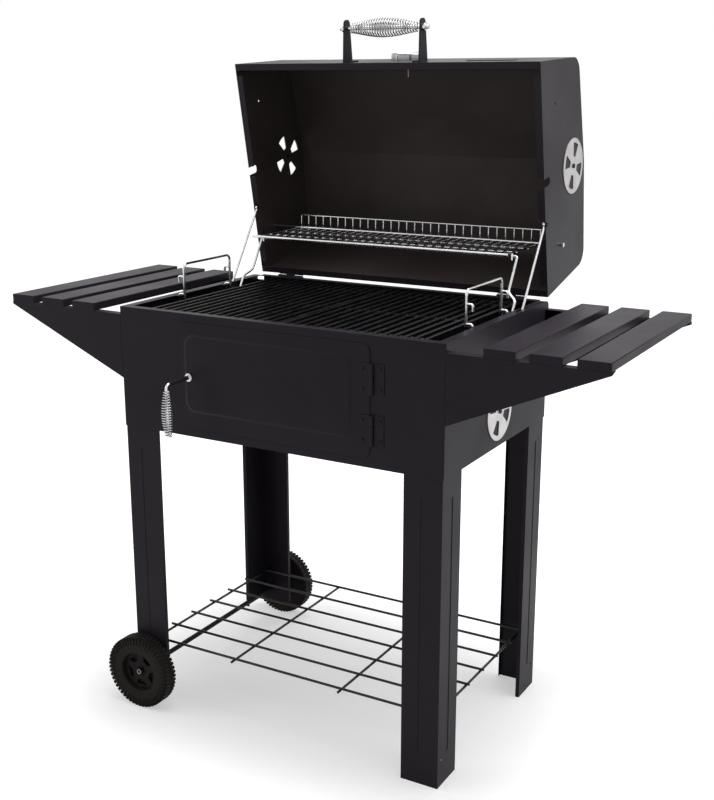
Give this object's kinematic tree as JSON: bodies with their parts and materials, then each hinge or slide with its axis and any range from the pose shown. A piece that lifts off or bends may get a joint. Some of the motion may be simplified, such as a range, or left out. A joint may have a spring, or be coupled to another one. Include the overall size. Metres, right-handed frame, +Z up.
{
  "type": "charcoal grill cart",
  "caption": "Box charcoal grill on a wheeled cart, with hinged lid, fire door, folding warming rack, slatted side shelves and a wire shelf.",
  "frame": {"origin": "middle of the footprint's bounding box, on the ground", "axes": "+Z up, front with the fire door towards -Y, wheels on the -X side"},
  "size_m": [1.234, 0.7452, 1.3416],
  "materials": {
    "black_paint": "satin",
    "black_hot": "matt",
    "chrome": "polished",
    "disc": "satin",
    "wheel_plastic": "matt",
    "dial": "matt",
    "glass": "clear",
    "steel": "satin",
    "enamel": "satin"
  },
  "bodies": {
    "cart": {"firebox_front_panel": "black_paint", "firebox_rear_panel": "black_paint", "firebox_left_panel": "black_paint", "firebox_right_panel": "black_paint", "firebox_floor": "black_paint", "grate_ledges": "black_hot", "leg_front_left": "black_paint", "leg_rear_left": "black_paint", "leg_front_right": "black_paint", "leg_rear_right": "black_paint", "axle": "steel", "axle_caps": "chrome", "shelf_bracket_front_left": "black_paint", "shelf_bracket_rear_left": "black_paint", "shelf_bracket_front_right": "black_paint", "shelf_bracket_rear_right": "black_paint", "shelf_slat_left_1": "black_paint", "shelf_slat_left_2": "black_paint", "shelf_slat_left_3": "black_paint", "shelf_slat_right_1": "black_paint", "shelf_slat_right_2": "black_paint", "shelf_slat_right_3": "black_paint", "wire_shelf": "black_paint", "door_frame_leaves": "black_paint", "door_hinge_pins": "black_paint", "lid_base_leaves": "black_paint", "lid_hinge_pins": "black_paint", "box_vent_pins": "black_paint"},
    "lid": {"lid_wrap": "black_hot", "lid_left_end": "black_hot", "lid_right_end": "black_hot", "lid_leaves": "black_paint", "lid_vent_pins": "black_paint", "stay_pins": "black_paint", "gauge_bezel": "chrome", "gauge_dial": "dial", "gauge_glass": "glass", "gauge_stem": "steel", "badge_plate": "steel", "handle_brackets": "black_paint", "handle_rod": "chrome", "handle_spring": "chrome"},
    "rack": {"warming_rack": "chrome"},
    "rack_legs": {"rack_legs": "chrome"},
    "stays": {"stay_rods": "chrome"},
    "door": {"door_panel": "black_paint", "door_leaves": "black_paint"},
    "latch": {"latch_rod": "black_paint", "latch_handle_wire": "chrome", "latch_grip": "chrome"},
    "vent_box_left": {"vent_disc_box_left": "disc"},
    "vent_box_right": {"vent_disc_box_right": "disc"},
    "vent_lid_left": {"vent_disc_lid_left": "disc"},
    "vent_lid_right": {"vent_disc_lid_right": "disc"},
    "wheel_front": {"wheel_front": "wheel_plastic"},
    "wheel_rear": {"wheel_rear": "wheel_plastic"},
    "grate_left": {"cooking_grate_left": "enamel"},
    "grate_right": {"cooking_grate_right": "enamel"},
    "tray": {"charcoal_tray": "black_hot", "tray_bails": "chrome"}
  },
  "joints": [
    {"name": "lid_hinge", "type": "hinge", "parent": "cart", "child": "lid", "pos_m": [0, 0.17486, 0.811], "axis": [1, 0, 0], "range_deg": [0, 79]},
    {"name": "rack_pin", "type": "hinge", "parent": "lid", "child": "rack", "pos_m": [0, 0.23686, 0.913], "axis": [1, 0, 0], "range_deg": [-79, 0]},
    {"name": "rack_leg_foot", "type": "hinge", "parent": "cart", "child": "rack_legs", "pos_m": [0, 0.05586, 0.8], "axis": [1, 0, 0], "range_deg": [0, 79]},
    {"name": "stay_pin", "type": "hinge", "parent": "lid", "child": "stays", "pos_m": [0, 0.15606, 0.96015], "axis": [1, 0, 0], "range_deg": [-45.55, 0]},
    {"name": "door_hinge", "type": "hinge", "parent": "cart", "child": "door", "pos_m": [0.2043, -0.29514, 0.6936], "axis": [0, 0, 1], "range_deg": [0, 160]},
    {"name": "latch_turn", "type": "hinge", "parent": "door", "child": "latch", "pos_m": [-0.18, -0.35614, 0.696], "axis": [0, 1, 0], "range_deg": [0, 90]},
    {"name": "vent_turn_box_left", "type": "hinge", "parent": "cart", "child": "vent_box_left", "pos_m": [-0.3408, -0.06214, 0.647], "axis": [1, 0, 0], "range_deg": [0, 45]},
    {"name": "vent_turn_box_right", "type": "hinge", "parent": "cart", "child": "vent_box_right", "pos_m": [0.3408, -0.06214, 0.647], "axis": [1, 0, 0], "range_deg": [0, 45]},
    {"name": "vent_turn_lid_left", "type": "hinge", "parent": "lid", "child": "vent_lid_left", "pos_m": [-0.3343, 0.28487, 1.06261], "axis": [1, 0, 0], "range_deg": [-45, 0]},
    {"name": "vent_turn_lid_right", "type": "hinge", "parent": "lid", "child": "vent_lid_right", "pos_m": [0.3343, 0.28487, 1.06261], "axis": [1, 0, 0], "range_deg": [0, 45]},
    {"name": "wheel_spin_front", "type": "hinge", "parent": "cart", "child": "wheel_front", "pos_m": [-0.315, -0.30864, 0.075], "axis": [0, 1, 0], "continuous": true},
    {"name": "wheel_spin_rear", "type": "hinge", "parent": "cart", "child": "wheel_rear", "pos_m": [-0.315, 0.21036, 0.075], "axis": [0, 1, 0], "continuous": true},
    {"name": "grate_lift_left", "type": "slide", "parent": "cart", "child": "grate_left", "axis": [0, 0, 1], "range_m": [0, 0.025]},
    {"name": "grate_lift_right", "type": "slide", "parent": "cart", "child": "grate_right", "axis": [0, 0, 1], "range_m": [0, 0.025]},
    {"name": "tray_lift", "type": "slide", "parent": "cart", "child": "tray", "axis": [0, 0, 1], "range_m": [0, 0.02]}
  ],
  "couplings": [
    {"joint": "rack_pin", "follows": "lid_hinge", "ratio": -1},
    {"joint": "rack_leg_foot", "follows": "lid_hinge", "ratio": 1},
    {"joint": "stay_pin", "follows": "lid_hinge", "ratio": -0.57658}
  ]
}
